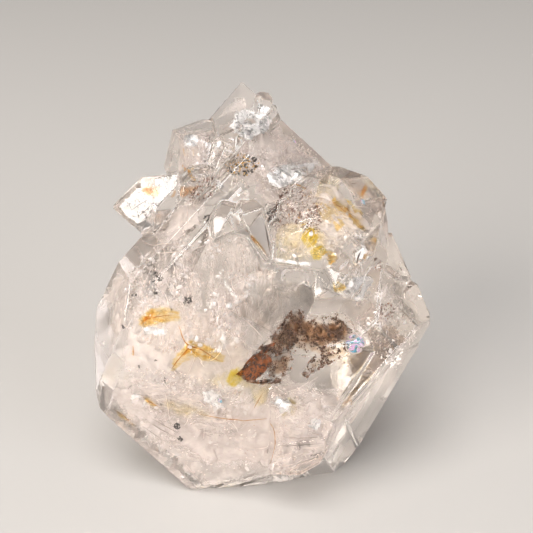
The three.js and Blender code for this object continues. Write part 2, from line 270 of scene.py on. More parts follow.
def flake(name, outline, depth, thickness, material, grain=0.2, ruffle=0.3, slant=0, fringe=0.7, follows=False):
    """A thin ruffled sheet: a fine grid cut to an outline seen from the front, then given a thickness. It lies
    behind the face over its middle, or follows every face over it, and its "body" falls to 0 at its rim."""
    middle_face = face_seen(*middle_of(outline))
    low, high = box_of(outline)
    size = [high[i] - low[i] for i in (0, 1)]
    cells = [max(FEWEST_CELLS, round(side / grain)) for side in size]
    bpy.ops.mesh.primitive_grid_add(x_subdivisions=cells[0], y_subdivisions=cells[1], size=1)
    piece = bpy.context.object
    piece.name = name.replace(" ", "_")
    for part in (*piece.data.edges, *piece.data.polygons):
        part.select = False
    body = []
    for vertex in piece.data.vertices:
        across = low[0] + (vertex.co.x + 0.5) * size[0]
        up = low[1] + (vertex.co.y + 0.5) * size[1]
        spot = Vector((across, up, 3 * depth + len(name)))
        drift = noise.noise_vector(spot / RUFFLE_SPAN) + noise.noise_vector(spot / CRINKLE_SPAN) * 0.5
        drift *= ruffle
        sunk = max(SHALLOWEST, depth + slant * (across - low[0] - size[0] / 2) + drift.z)
        face = face_seen(across + drift.x, up + drift.y) if follows else middle_face
        body.append(min(1.0, from_edge(outline, across, up) / fringe))
        vertex.select = face[0] is None or not inside_outline(outline, across, up)
        if face[0] is not None:
            vertex.co = behind(face, across + drift.x, up + drift.y, sunk)
            vertex.select = vertex.select or not within(vertex.co, SKIN + thickness * MM)
    corners = piece.data.vertices
    for edge in piece.data.edges:
        if (corners[edge.vertices[0]].co - corners[edge.vertices[1]].co).length > TORN * grain * MM:
            corners[edge.vertices[0]].select = True
    piece.data.attributes.new("body", "FLOAT", "POINT").data.foreach_set("value", body)
    bpy.ops.object.mode_set(mode="EDIT")
    bpy.ops.mesh.delete(type="VERT")
    bpy.ops.mesh.select_all(action="SELECT")
    bpy.ops.mesh.delete_loose()
    bpy.ops.object.mode_set(mode="OBJECT")
    apply_modifier(piece, "thickness", "SOLIDIFY", thickness=thickness * MM, offset=-1)
    bpy.ops.object.shade_smooth()
    piece.data.materials.append(material)
    return piece


def gather(name, parts):
    """Joins like parts into one piece, which belongs to the quartz they lie in."""
    bpy.ops.object.select_all(action="DESELECT")
    for part in parts:
        part.select_set(True)
    bpy.context.view_layer.objects.active = parts[0]
    if len(parts) > 1:
        bpy.ops.object.join()
    parts[0].name = name
    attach(parts[0], "root")


def lay(piece, rows, thickness, material, **like):
    """Lays like sheets and joins them. A row has a sheet's name, outline, depth and fringe."""
    sheets = []
    for name, outline, depth, fringe in rows:
        sheets.append(flake(name, outline, depth, thickness, material, fringe=fringe, **like))
    gather(piece, sheets)


def cloud_pattern(material, span, start, full, stretch=(1, 1, 1), thinning=0.5):
    """A cloudy pattern from 0 to 1, over a real distance in mm, that thins out towards a sheet's outline."""
    spot = add_node(material, "ShaderNodeTexCoord")
    drawn_out = add_node(material, "ShaderNodeMapping", {"Scale": stretch}, {"Vector": spot.outputs["Object"]})
    cloud = add_node(
        material,
        "ShaderNodeTexNoise",
        {"Scale": 1000 / span, "Detail": 6.0, "Roughness": 0.68, "Distortion": 0.7},
        {"Vector": drawn_out.outputs["Vector"]},
    )
    body = add_node(material, "ShaderNodeAttribute", {"attribute_name": "body"})
    thinned = add_node(
        material,
        "ShaderNodeMath",
        {"operation": "MULTIPLY_ADD", 1: thinning},
        {0: body.outputs["Fac"], 2: cloud.outputs["Fac"]},
    )
    pattern = add_node(
        material,
        "ShaderNodeMapRange",
        {"From Min": start + thinning, "From Max": full + thinning},
        {"Value": thinned.outputs["Value"]},
    )
    return pattern.outputs["Result"]


def coloured(material, pattern, colours):
    """Colours spread evenly over a pattern from 0 to 1."""
    ramp = add_node(material, "ShaderNodeValToRGB", links={"Fac": pattern})
    stops = ramp.color_ramp.elements
    while len(stops) < len(colours):
        stops.new(0.5)
    for k, colour in enumerate(colours):
        stops[k].position = k / (len(colours) - 1)
        stops[k].color = linear(colour)
    return ramp.outputs["Color"]


def finished(material, settings, links=None, kind="ShaderNodeBsdfPrincipled"):
    """Closes a material with its surface shader."""
    skin = add_node(material, kind, settings, links)
    add_node(material, "ShaderNodeOutputMaterial", links={"Surface": skin.outputs[0]})
    return material


def mottled(name, colours, span, roughness=0.75):
    """An opaque, earthy material whose colour wanders between a few colours over a real distance in mm."""
    material = new_material(name)
    pattern = cloud_pattern(material, span, 0.34, 0.66, thinning=0.0)
    return finished(material, {"Roughness": roughness}, {"Base Color": coloured(material, pattern, colours)})


def stained(name, colours, span, start, full, stretch=(1, 1, 1), roughness=0.15):
    """A film that tints the light that passes, clear where it is thin. Light crosses both its skins, so each
    colour here is counted twice."""
    material = new_material(name)
    pattern = cloud_pattern(material, span, start, full, stretch)
    return finished(
        material,
        {"Roughness": roughness, "IOR": 1.01, "Transmission Weight": 1.0},
        {"Base Color": coloured(material, pattern, ["#ffffff"] + colours)},
    )


RUST_POINT = [
    (-4, -14.2), (-2.7, -13), (-1.7, -12.1), (-0.6, -11.4), (0.4, -11.4), (0.9, -12.2), (0.7, -13.4),
    (-0.2, -14.2), (-1.3, -15), (-2.2, -15.2), (-3, -14.7),
]
RUST_EDGE = [
    (-3.5, -14.1), (-2.8, -12.9), (-1.7, -11.8), (-0.6, -10.9), (0.7, -10.1), (1.4, -9.9), (1.1, -10.6),
    (0.2, -11.3), (-1, -11.8), (-2, -12.6), (-2.8, -13.6),
]
BAND = [
    (-3.2, -13.9), (-2.1, -12.2), (-0.8, -10.6), (0.9, -9), (2.3, -7.1), (3.3, -5.9), (4.5, -6), (5.3, -7.1),
    (5, -8.5), (4.3, -9.9), (3.4, -11), (1.9, -11.8), (0.4, -12.1), (-1.3, -12.6),
]
RIGHT_BUMP = [
    (7.7, -8), (8.5, -6.9), (9.7, -6.6), (10.8, -7.4), (11.1, -8.8), (10.2, -9.9), (9, -9.9), (8, -9.2),
]
SWIRL = [
    (0.3, -12), (1.6, -11.5), (3.2, -11.5), (3.8, -12.6), (3.1, -14.1), (1.8, -15), (0.5, -15), (-0.1, -13.8),
]
LOWER_LOBE = [
    (4.6, -14.4), (5.7, -12.6), (6.7, -11.6), (8.6, -11), (10.4, -10.1), (11.4, -9.9), (11.1, -11.2),
    (9.8, -12.2), (7.9, -13.2), (6.5, -14.1), (5.4, -14.9),
]
BODY_FRINGE = [
    (1.9, -8.3), (2.6, -6.2), (4, -5.6), (5.8, -6.4), (7.9, -6.6), (9.7, -6.1), (11.5, -7.3), (12, -9),
    (11.1, -10.8), (9.7, -12), (7.6, -13.1), (5.8, -12.2), (4, -11.8), (2.3, -11.5),
]

# Earthy iron oxide: dull, and blotched from nearly black to a warm red brown.
rust = mottled("rust", ["#0c0502", "#421f04", "#9e5206", "#4c2604", "#120802"], 0.7, roughness=0.55)

# Clay too fine to see as crumbs: a brown cloud that light still comes through.
brown_haze = stained("brown haze", ["#f6ece2", "#dfcdbc", "#c4ae9b"], 1.3, 0.34, 0.66, roughness=0.3)
gather(
    "rust_point",
    [
        flake("rust point", RUST_POINT, 3.0, 0.3, rust, grain=0.12, ruffle=0.16),
        flake("rust edge", RUST_EDGE, 2.6, 0.2, rust, grain=0.12, ruffle=0.2),
    ],
)
HAZES = [
    ("body haze", BODY_FRINGE, 3.4, 1.2),
    ("band haze", BAND, 3.2, 0.7),
    ("swirl haze", SWIRL, 3.2, 0.7),
    ("second swirl haze", SWIRL, 3.8, 0.7),
    ("lobe haze", LOWER_LOBE, 3.3, 0.7),
    ("bump haze", RIGHT_BUMP, 2.9, 0.7),
]
lay("brown_haze", HAZES, HAZE_THICKNESS, brown_haze)

# ---------------------------------------------------------------- painted shade zones
# Painted shade: clear grey sheets that darken the quartz over the clay, down the right-hand side and low on the
# right, where it lies in shade; the quartz itself is no darker there. Each is laid in as a wide clear sheet that
# shades off at its rim.
PAINTED_SHADE_ZONES = [
    ("smoky zone over the clay", [(-1.6, -1.6), (1.9, -1.1), (6.2, -1.3), (9.7, -3.4), (12.5, -3.4),
        (12.9, -6.2), (12.2, -8), (9.7, -6.2), (5.8, -6.6), (3.3, -5.5), (1.2, -8.3), (-0.9, -10.1),
        (-3, -8.7), (-2.7, -4.8)], 5, 1.4),
    ("smoky right flank", [(16.3, 3.3), (17.5, 1.9), (19.4, -2.3), (21.6, -6.2), (21.2, -8.7), (17.5, -11.8),
        (15.5, -9), (15.8, -2)], 2, 1.4),
    ("smoky lower right", [(8.6, -10.4), (13.2, -9.4), (15.2, -11.5), (14.8, -14.7), (11.5, -18.6),
        (9.7, -18.9), (8.3, -15)], 3, 1.4),
]

# Painted shade: a neutral grey film that takes some of the light and scatters none, as thin smoked glass does.
painted_shade_film = stained("grey film for painted shade", ["#f3f3f2", "#e3e2e0", "#d5d4d2"], 3.0, 0.3, 0.66, roughness=0.02)
lay("painted_shade_zones", PAINTED_SHADE_ZONES, HAZE_THICKNESS, painted_shade_film, grain=0.3)

# ---------------------------------------------------------------- the thick of the clay
# Where the cloud is densest, a dark core of packed clay, and all round it loose crumbs of clay and dolomite
# that settled on the crystal while it grew, each a fifth of a millimetre or so.
TRIES = 40
CLUMP_EDGE = 0.15
LIE_SPREAD = 14
ROUGHNESS = (0.7, 1.3)


def scatter(
    name, outlines, count, depths, size, material,
    flat=0.4, stretch=1.0, lie=None, clump=0.0, clump_span=1.2, tilt=0.35,
):
    """One rough crumb, copied many times into one mesh behind the skin, each turned and sized afresh. They can
    crowd together over a span in mm, be drawn out, and lie at about one angle."""
    bpy.ops.mesh.primitive_ico_sphere_add(subdivisions=1, radius=1)
    crumb = bpy.context.object
    shape = [v.co.copy() for v in crumb.data.vertices]
    loops = [list(p.vertices) for p in crumb.data.polygons]
    bpy.data.objects.remove(crumb)
    points, polygons = [], []
    for outline, share in outlines:
        low, high = box_of(outline)
        placed = 0
        for _ in range(round(count * share * TRIES)):
            if placed >= count * share:
                break
            across, up = random.uniform(low[0], high[0]), random.uniform(low[1], high[1])
            if not inside_outline(outline, across, up):
                continue
            if clump:
                crowding = noise.noise(Vector((across, up, len(name))) / clump_span)
                if crowding < clump * random.random() - CLUMP_EDGE:
                    continue
            face = face_seen(across, up)
            if face[0] is None:
                continue
            middle = behind(face, across, up, random.uniform(*depths))
            scale = size[0] + (size[1] - size[0]) * random.random() ** 2
            if not within(middle, SKIN + scale * stretch * MM / 2):
                continue
            scale *= MM / 2
            normal = face[1]
            along = Vector((1, 0, 0)).cross(normal).normalized()
            side = normal.cross(along)
            if lie is None:
                angle = random.uniform(0, 2 * math.pi)
            else:
                angle = math.radians(lie + random.gauss(0, LIE_SPREAD))
            reach = side * math.cos(angle) + along * math.sin(angle)
            breadth = normal.cross(reach)
            thin = (normal + reach * random.gauss(0, tilt) + breadth * random.gauss(0, tilt)).normalized()
            first = len(points)
            for corner in shape:
                rough = random.uniform(*ROUGHNESS)
                points.append(
                    middle
                    + reach * corner.x * scale * stretch * rough
                    + breadth * corner.y * scale * rough
                    + thin * corner.z * scale * flat
                )
            polygons += [[first + i for i in loop] for loop in loops]
            placed += 1
    mesh = bpy.data.meshes.new(name.replace(" ", "_"))
    mesh.from_pydata(points, [], polygons)
    piece = new_piece(name, mesh)
    piece.data.materials.append(material)
    gather(piece.name, [piece])


# Seeded, so that every crumb falls in the same place each time.
random.seed(7)
CORE = [
    (3.2, -6.9), (4.5, -6.2), (5.8, -7), (7.7, -7.2), (9.6, -6.7), (10.7, -7.4), (11.5, -8.7), (11, -9.9),
    (9.3, -10.4), (8.3, -11.2), (7.4, -11.7), (6.6, -10.9), (5.3, -10.6), (4, -10.9), (3, -10.6), (2.7, -8.7),
]
CORE_DEEP = [
    (4, -7.8), (5.8, -7.6), (7.7, -7.8), (9.3, -7.4), (10.2, -8.1), (9.9, -9.2), (8.5, -9.9), (7.2, -10.4),
    (5.8, -9.7), (4.5, -9.6),
]
LOWER_SPRAY = [
    (-3.4, -14.3), (-1.6, -15.2), (0.5, -15), (2.6, -15.2), (1.9, -15.7), (0.2, -15.6), (-1.6, -15.6),
    (-3, -15.2),
]

# The same clay lying thicker: a deeper brown that little light comes through.
dense_haze = stained("dense brown haze", ["#ead9c8", "#c8b09a", "#a0856e"], 0.9, 0.32, 0.66, roughness=0.3)
DENSE_HAZES = [
    ("core haze", CORE, 3, 0.8), ("deep core haze", CORE_DEEP, 3.7, 0.5), ("band core haze", BAND, 3.6, 0.9),
]
lay("dense_brown_haze", DENSE_HAZES, HAZE_THICKNESS, dense_haze)

# Dry clay and dolomite: dull crumbs, never quite one brown, and darker where there is more iron in them.
brown_grain = mottled("brown clay crumbs", ["#38261d", "#654a3b", "#8a6c5a", "#ae917e"], 0.35)
dark_grain = mottled("dark clay crumbs", ["#1e1512", "#3a2820", "#584033"], 0.35)
BROWN_BEDS = [
    (BAND, 0.3), (CORE, 0.2), (BODY_FRINGE, 0.14), (LOWER_LOBE, 0.12), (SWIRL, 0.08), (RIGHT_BUMP, 0.06),
    (LOWER_SPRAY, 0.07),
]
DARK_BEDS = [(BAND, 0.4), (CORE, 0.25), (RUST_EDGE, 0.12), (LOWER_LOBE, 0.12), (LOWER_SPRAY, 0.11)]
CRUMBS = [
    ("brown grains", BROWN_BEDS, 4200, (2.2, 4), (0.09, 0.26), brown_grain, 0.35, 0.7),
    ("dark grains", DARK_BEDS, 1000, (2, 3.6), (0.08, 0.2), dark_grain, 0.5, 0.9),
]
for name, beds, count, depths, size, material, clump, clump_span in CRUMBS:
    scatter(name, beds, count, depths, size, material, flat=0.6, clump=clump, clump_span=clump_span)

# ---------------------------------------------------------------- golden stains
# Iron oxide that seeped into old cracks and was sealed in: films of yellow to orange, feathered at their
# edges, and thin threads where a crack is seen edge on.
FILM_THICKNESS = 0.08

# Limonite, a hydrated iron oxide, as a thin film: clear like amber, honey yellow where it is thick and gone
# at its rim. The deep stain is its thickest part, the lemon one its purest, the pale and peach ones a breath.
stain = stained("iron stain", ["#fef8e2", "#fae9b4", "#f2cf78"], 0.9, 0.28, 0.6, (0.6, 1, 2.2))
deep_stain = stained("deep iron stain", ["#fcecca", "#f7cf8a", "#e8a552"], 0.7, 0.28, 0.6, (0.8, 1, 1.8))
lemon_stain = stained("lemon stain", ["#fdf8d6", "#fbf0a0", "#f6df5e"], 0.9, 0.24, 0.58)
pale_stain = stained("pale yellow stain", ["#fffef6", "#fdf9e6", "#fbf3d0"], 2.6, 0.3, 0.66)
peach_stain = stained("peach stain", ["#fff6ec", "#ffe8d2", "#fcd9b8"], 0.8, 0.2, 0.5)
FILMS = {
    ("gold_films", stain): [
        ("gold fan on the left", [(-17.8, -8), (-17, -6.2), (-15.3, -5), (-12.9, -4.9), (-11.1, -5.8),
            (-11.1, -7.3), (-13, -7.9), (-15, -8.1), (-16.4, -8.5)], 1.8, 0.6),
        ("gold fan in the middle", [(-13.2, -14), (-12.4, -11.6), (-10.4, -9.8), (-8.3, -10.4), (-5.1, -12.2),
            (-5.6, -13.3), (-8.3, -13.3), (-9.9, -12.6), (-11.1, -13.3), (-12.2, -14.2)], 2.2, 0.5),
        ("deep edge of the middle fan", [(-11.8, -12.2), (-10.6, -10.7), (-9.9, -10.6), (-8.7, -11.3),
            (-6.9, -12.1), (-7.6, -12.6), (-9.4, -12), (-10.2, -11.5), (-11.1, -12.3)], 2, 0.35),
        ("gold tail of the blot", [(7, 2.3), (8.6, 1.9), (9.7, 0.7), (8.6, -0.1), (7.4, 0.4)], 1.6, 0.35),
        ("olive feather in the front spur", [(7.2, 8.3), (9.1, 9.8), (11.2, 9.2), (12.9, 7.6), (13.7, 4.3),
            (12.3, 4.6), (11, 5.5), (9.3, 6.5), (8.2, 6.8)], 1.8, 0.5),
        ("gold flake beside the feather", [(8.6, 6.2), (9.9, 6.2), (10.4, 5.1), (9.3, 4.4),
            (8.8, 5.1)], 1.5, 0.35),
        ("gold in the small lobe", [(8, -2.6), (9.3, -1.9), (11, -2.3), (10.7, -3.6), (9.2, -3.8)], 1, 0.35),
        ("gold dash at the lower left", [(-21, -18.5), (-19.6, -19.2), (-17.3, -21.1), (-17.6, -21.7),
            (-19.5, -20.3)], 1, 0.3),
        ("gold wisp at the left", [(-16.9, -17), (-15.9, -17.3), (-14.3, -18.6), (-14.7, -19.3),
            (-16.2, -18.4)], 1.6, 0.3),
        ("gold edge of the blade", [(-3.7, 5.6), (-2.9, 5.5), (-0.8, 3.2), (0.8, 0.5), (0.3, 0.3),
            (-1.6, 2.8)], 0.7, 0.3),
    ],
    ("orange_films", deep_stain): [
        ("deep end of the left fan", [(-17.2, -7.7), (-16.6, -6.5), (-15.4, -5.9), (-14.5, -6.2), (-15, -6.9),
            (-15.9, -7.3), (-16.6, -7.9)], 1.6, 0.35),
        ("short orange crack", [(-18.1, -10.4), (-17.6, -10.4), (-17.5, -12), (-18, -12.1)], 1.2, 0.25),
        ("orange tip of the front spur", [(12.1, 9.3), (12.7, 10.7), (13.6, 11.1), (13.6, 10),
            (12.7, 8.9)], 1.2, 0.3),
        ("gold crack in the upper spur", [(-11.1, 14.3), (-10.6, 14.4), (-10.1, 13.2), (-9.7, 11.7),
            (-10.2, 11.7), (-10.9, 12.9)], 1.4, 0.25),
        ("upper gold crack", [(-11.4, 15.8), (-10.9, 16), (-10.6, 14.7), (-11, 14.4)], 1.4, 0.25),
        ("orange line on the front spur", [(3.3, 11.3), (4, 11.4), (5.5, 10.6), (5.3, 10), (4.3, 10.6)], 1, 0.25),
    ],
    ("lemon_films", lemon_stain): [
        ("lemon spot by the rust", [(-5.8, -15.2), (-5.4, -13.8), (-4, -13.4), (-3, -14.3), (-3.1, -15.7),
            (-4.2, -16.5), (-5.3, -16.2)], 2.6, 0.6),
        ("lemon blot in the front spur", [(4.7, 4), (5.2, 5.4), (6.4, 5.4), (7.2, 4.1), (7, 2.6), (5.8, 2.3),
            (5, 3)], 1.8, 0.4),
        ("second lemon blot", [(5.4, 1.9), (6.2, 3), (7.4, 2.8), (8.1, 1.6), (7.2, 0.5), (5.9, 0.8)], 1.7, 0.4),
    ],
    ("pale_films", pale_stain): [
        ("pale yellow by the rust", [(-9, -14.7), (-6.5, -13.6), (-4.4, -13.3), (-1.6, -15), (0.5, -15.4),
            (0.2, -16.8), (-3, -17.1), (-7.3, -16.8)], 2.4, 1.2),
        ("pale yellow under the rust", [(-2.7, -15.4), (0.5, -15.2), (0.9, -16.4), (0.2, -18.6), (-1.3, -19.3),
            (-2.3, -17.5)], 2.4, 0.6),
        ("yellow cast in the front spur", [(0.2, 5.1), (1.9, 6.5), (4.7, 6.2), (7.6, 5.1), (8.3, 2.3),
            (7.2, -0.4), (4, -0.7), (0.9, -0.1)], 2.4, 1.2),
        ("yellow cast in the spur top", [(5.8, 10), (5.8, 12.2), (7.6, 13.2), (10, 12.7), (10.7, 10.7),
            (9.7, 8.6), (7.6, 8.3)], 1.4, 1),
        ("cream in the foot", [(-15.7, -17.5), (-12.6, -16.8), (-9.4, -17.8), (-5.8, -19.6), (-6.5, -21),
            (-10.8, -21), (-14.7, -19.6)], 1, 1.4),
        ("yellow right of the seam", [(0.9, -17.5), (3.7, -17.1), (4.7, -18.9), (4, -21), (1.6, -21)], 1.8, 0.8),
    ],
    ("peach_films", peach_stain): [
        ("peach film by the left spur", [(-13.2, 9.2), (-12.2, 10.6), (-10.2, 10.8), (-8.8, 11), (-9, 10),
            (-10.3, 9.3), (-12.1, 8.9)], 0.9, 0.3),
        ("peach cast in the left spur", [(-16.9, 10.7), (-15.5, 11.2), (-14, 10.9), (-13.5, 9.8), (-14.5, 9),
            (-15.9, 9.2), (-16.8, 9.9)], 0.35, 0.5),
    ],
}
for (piece, material), rows in FILMS.items():
    lay(piece, rows, FILM_THICKNESS, material, grain=0.14, ruffle=0.16)

THREAD_STEP = 0.7
THREAD_DRIFT_SPAN = 0.8
THREAD_SHALLOWEST = 0.25
THREAD_TAPER = 0.75


def threads(name, paths, material, wander=0.06):
    """Fine lines behind a face, thin at both ends. Each is given by places seen from the front, its depth
    and its width in mm."""
    curve = bpy.data.curves.new(name, "CURVE")
    curve.dimensions = "3D"
    curve.bevel_depth = MM
    curve.bevel_resolution = 0
    curve.resolution_u = 3
    curve.use_fill_caps = True
    for places, depth, width in paths:
        face = face_seen(*middle_of(places))
        if face[0] is None:
            continue
        line = []
        for (x1, y1), (x2, y2) in zip(places, places[1:]):
            steps = max(1, round(math.hypot(x2 - x1, y2 - y1) / THREAD_STEP))
            line += [(x1 + (x2 - x1) * k / steps, y1 + (y2 - y1) * k / steps) for k in range(steps)]
        line.append(places[-1])
        spots = []
        for across, up in line:
            drift = noise.noise_vector(Vector((across, up, depth)) / THREAD_DRIFT_SPAN) * wander
            spot = behind(face, across + drift.x, up + drift.y, max(THREAD_SHALLOWEST, depth + drift.z))
            if within(spot):
                spots.append(spot)
        if len(spots) < 3:
            continue
        spline = curve.splines.new("NURBS")
        spline.points.add(len(spots) - 1)
        for k, spot in enumerate(spots):
            spline.points[k].co = (*spot, 1)
            share = 2 * k / (len(spots) - 1) - 1
            spline.points[k].radius = width / 2 * (1 - THREAD_TAPER * share**2)
        spline.order_u = 3
        spline.use_endpoint_u = True
    piece = new_piece(name, curve)
    take(piece)
    bpy.ops.object.convert(target="MESH")
    bpy.ops.object.shade_smooth()
    body = [1.0] * len(piece.data.vertices)
    piece.data.attributes.new("body", "FLOAT", "POINT").data.foreach_set("value", body)
    piece.data.materials.append(material)
    return piece


# The same film seen edge on, so far through it that it is a strong orange line.
gold_thread = stained("gold thread", ["#f3d38c", "#d99a3a"], 0.5, 0.2, 0.5)
THREADS = [
    ([(-11.8, -8), (-11.4, -9), (-10.8, -10.2), (-10.2, -10.6), (-8.7, -11.1), (-6.4, -12.6)], 2, 0.2),
    ([(-16.9, -7.3), (-16, -7), (-14.7, -6.8), (-12.6, -6.6)], 1.6, 0.12),
    ([(-12.6, -13.6), (-11.5, -12.1), (-10.2, -10.8)], 2.1, 0.16),
    ([(-9, -19.7), (-5.8, -20.2), (-3, -20.5), (0.2, -20)], 1.4, 0.14),
    ([(-20.7, -18.8), (-19.2, -19.8), (-17.5, -21.3)], 1, 0.16),
    ([(-16.8, -17.1), (-15.5, -18.1), (-14.2, -18.8)], 1.6, 0.14),
    ([(-1.6, -18.8), (-1, -17.7), (-0.5, -16.9)], 1.6, 0.14),
    ([(0.5, -20.5), (1.1, -22.1), (1.2, -24.2), (0.7, -26), (-0.1, -28.1)], 0.6, 0.12),
    ([(-2.6, -15.4), (-0.9, -15.6), (0.5, -15.4)], 2.2, 0.12),
    ([(-11.1, 15.8), (-10.8, 14.8)], 1.2, 0.2),
    ([(-10.6, 14.1), (-10.7, 13.1), (-10.2, 11.9)], 1.2, 0.22),
    ([(3.5, 11.2), (4.3, 10.9), (5.3, 10.3)], 0.9, 0.18),
    ([(12.7, 9.8), (12.9, 10.6), (13.4, 11)], 1, 0.18),
    ([(-3.4, 5.4), (-2, 4.2), (-0.8, 2.8), (0.2, 1.4), (0.7, 0.4)], 0.6, 0.16),
    ([(7.6, 8.9), (9.3, 8.3), (11.5, 6.5), (13.1, 4.7)], 1.6, 0.14),
    ([(8.6, 8.3), (10.4, 7.9), (12.2, 6.5)], 1.5, 0.12),
    ([(10, -18.3), (11.1, -17.8)], 1.6, 0.14),
    ([(-17.8, -10.6), (-17.7, -12)], 1.1, 0.2),
]
gather("gold_threads", [threads("gold threads", THREADS, gold_thread)])

# ---------------------------------------------------------------- healed cracks
# Air-filled cracks inside the quartz, crinkled like foil. Light meets the air from the denser side and is thrown
# back whole, so that from outside they flash white and silver, broken where the crack has healed. That
# thrown-back light is
# partly painted here: each crack is a white sheet with only a little metallic gloss.
CRACK_THICKNESS = 0.05
CRACK_LAYERS_APART = 0.45

# Air behind a wall of quartz: a crinkled foil in patches with clear gaps. Its white base colour is painted
# reflection, and its silver sheen is a real metallic gloss.
painted_white_foil = new_material("air in a crack, painted white as its reflection")
glitter = cloud_pattern(painted_white_foil, 0.5, 0.3, 0.7, thinning=0.0)
crinkle = add_node(painted_white_foil, "ShaderNodeBump", {"Strength": 0.3, "Distance": 0.12 * MM}, {"Height": glitter})
finished(
    painted_white_foil,
    {"Base Color": linear("#ffffff"), "Metallic": 0.2, "Roughness": 0.3},
    {"Normal": crinkle.outputs["Normal"], "Alpha": cloud_pattern(painted_white_foil, 0.8, 0.4, 0.47)},
)
CRACKS = [
    ("crack over the front spur", [(-0.2, 12.4), (2.8, 13.6), (7, 14), (5.7, 11.9), (3.7, 10.9), (1.9, 10.3),
        (0.4, 10.9)], 0.7, 0.1, 0.25, 3),
    ("corner crack of the front spur", [(0.8, 1.7), (1.6, 0.9), (2.9, 0.4), (2.8, -0.6),
        (0.9, -0.6)], 0.6, 0.2, 0.3, 3),
    ("line under the front spur", [(0.7, 1.5), (2.1, 1.1), (4, 0.9), (6.1, 0.5), (6.3, -0.3), (3.3, -0.3),
        (1, -0.2)], 0.45, 0, 0.25, 3),
    ("crack under the top spur", [(-5.1, 18.7), (-4.2, 20.5), (-2.9, 21.3), (-1, 20.8), (1.1, 19.6),
        (0.5, 18.2), (-1.3, 17.3), (-2.5, 16.6), (-3.8, 17.4)], 0.9, 0.2, 0.25, 2),
    ("crack in the small lobe", [(10.3, -2.5), (11.2, -1.3), (13.2, -0.8), (14.8, -1.7), (13.6, -3.2),
        (13.1, -4.8), (11.7, -4.7), (10.8, -3.6)], 1, -0.2, 0.4, 3),
    ("spot in the middle", [(-5.6, -4.7), (-4.7, -4.5), (-4.2, -5.2), (-4.7, -5.9),
        (-5.5, -5.7)], 1.6, 0.3, 0.3, 2),
    ("strokes in the middle", [(-6.3, -1.3), (-5.5, -1.5), (-4.4, -3), (-3.4, -4.5), (-4, -4.6),
        (-5.1, -3.4)], 2, -0.4, 0.3, 2),
    ("spot beside it", [(-7.5, -3.3), (-6.8, -3.2), (-6.5, -3.8), (-7.1, -4.1)], 2, 0.3, 0.25, 2),
    ("crack in the left spur", [(-20, 7.9), (-18.4, 9.9), (-16.2, 11), (-13.9, 11), (-12.6, 10), (-14.3, 8.1),
        (-15.6, 6.5), (-17.1, 5.5), (-18.7, 6.3)], 0.8, 0.1, 0.4, 1),
    ("crack under the gold fan", [(-16.9, -8), (-15, -7.8), (-12.8, -8.2), (-13, -9.1), (-15, -9.4),
        (-16.2, -8.9)], 1.8, 0.2, 0.3, 2),
    ("crack in the foot", [(-9.4, -16.4), (-7.3, -16.1), (-5.8, -17.1), (-5.1, -18.9), (-6.5, -19.3),
        (-8.3, -18.2)], 2.2, 0.2, 0.5, 2),
    ("crack at the foot's left", [(-18.9, -16.8), (-16.6, -16.6), (-15.4, -17.8), (-15.7, -19.3),
        (-17.8, -18.9)], 1.6, 0.2, 0.5, 2),
    ("gleam at the left", [(-22.3, -10.1), (-21.7, -9.7), (-21.2, -10.4), (-21.7, -11.1)], 1, 0.1, 0.3, 2),
    ("crack beside the seam", [(0.9, -17.1), (2.6, -16.8), (3.7, -17.8), (3, -19.6),
        (1.6, -20)], 1.2, 0.3, 0.4, 2),
    ("gleam low on the right", [(5.8, -20.3), (7.2, -20), (7.6, -21.4), (6.2, -21.7)], 1.2, 0.3, 0.3, 2),
    ("crack in the top", [(-1.6, 19.6), (0.5, 19.2), (0.5, 17.8), (-1.3, 17.8)], 1, 0.1, 0.4, 2),
    ("crack high in the upper spur", [(-11.4, 17), (-10.1, 17.6), (-9, 17.3), (-8.8, 16.3), (-9.9, 15.6),
        (-11.1, 16)], 1, 0.1, 0.35, 2),
    ("crack at the upper spur's right", [(-7, 16.8), (-6.2, 17), (-5.6, 16.4), (-6.1, 15.6),
        (-6.9, 15.8)], 1, 0.1, 0.3, 2),
    ("crack under the upper spur", [(-7.3, 11.9), (-6.2, 11.7), (-5.6, 10.7), (-5.8, 10),
        (-6.8, 10.7)], 1, 0.1, 0.3, 2),
    ("oval gas pocket", [(11.5, 0.2), (11.7, 1.9), (12.7, 3.1), (13.4, 2.8), (13.1, 1.3),
        (12.3, -0.1)], 0.8, 0.1, 0.25, 2),
    ("crack in the knuckle", [(-1.3, 21.7), (-0.2, 21.9), (0.5, 21), (0.2, 19.9),
        (-0.9, 20.1)], 0.9, 0.1, 0.35, 2),
]
cracks = []
for name, outline, depth, slant, fringe, layers in CRACKS:
    for layer in range(layers):
        sunk = depth + layer * CRACK_LAYERS_APART
        cracks.append(flake(name, outline, sunk, CRACK_THICKNESS, painted_white_foil, 0.14, 0.3, slant, fringe, follows=True))
gather("cracks_painted_white", cracks)

# ---------------------------------------------------------------- veils
# Sheets of tiny sealed bubbles and crumbs along old cracks that have healed: white wisps, pale hairlines
# where a healed crack is seen edge on, and loose white flecks.
VEIL_THICKNESS = 0.05

# Crowded tiny bubbles, like frost: soft white, lit from in front and from behind alike.
milky = new_material("milky veil")
milk = add_node(milky, "ShaderNodeBsdfPrincipled", {"Base Color": linear("#fdf6f2"), "Roughness": 0.6})
glow = add_node(milky, "ShaderNodeBsdfTranslucent", {"Color": linear("#fdf6f2")})
finished(milky, {"Fac": 0.5}, {1: milk.outputs["BSDF"], 2: glow.outputs["BSDF"]}, "ShaderNodeMixShader")


def frosted(name, span, stretch, start, full, cover):
    """A sheet of bubbles too small to see one by one: white where they crowd, clear between."""
    material = new_material(name)
    pattern = cloud_pattern(material, span, start, full, stretch)
    crowding = add_node(material, "ShaderNodeMapRange", {"To Max": cover}, {"Value": pattern})
    return finished(
        material,
        {"Base Color": linear("#fff6f1"), "Roughness": 0.7},
        {"Alpha": crowding.outputs["Result"]},
    )


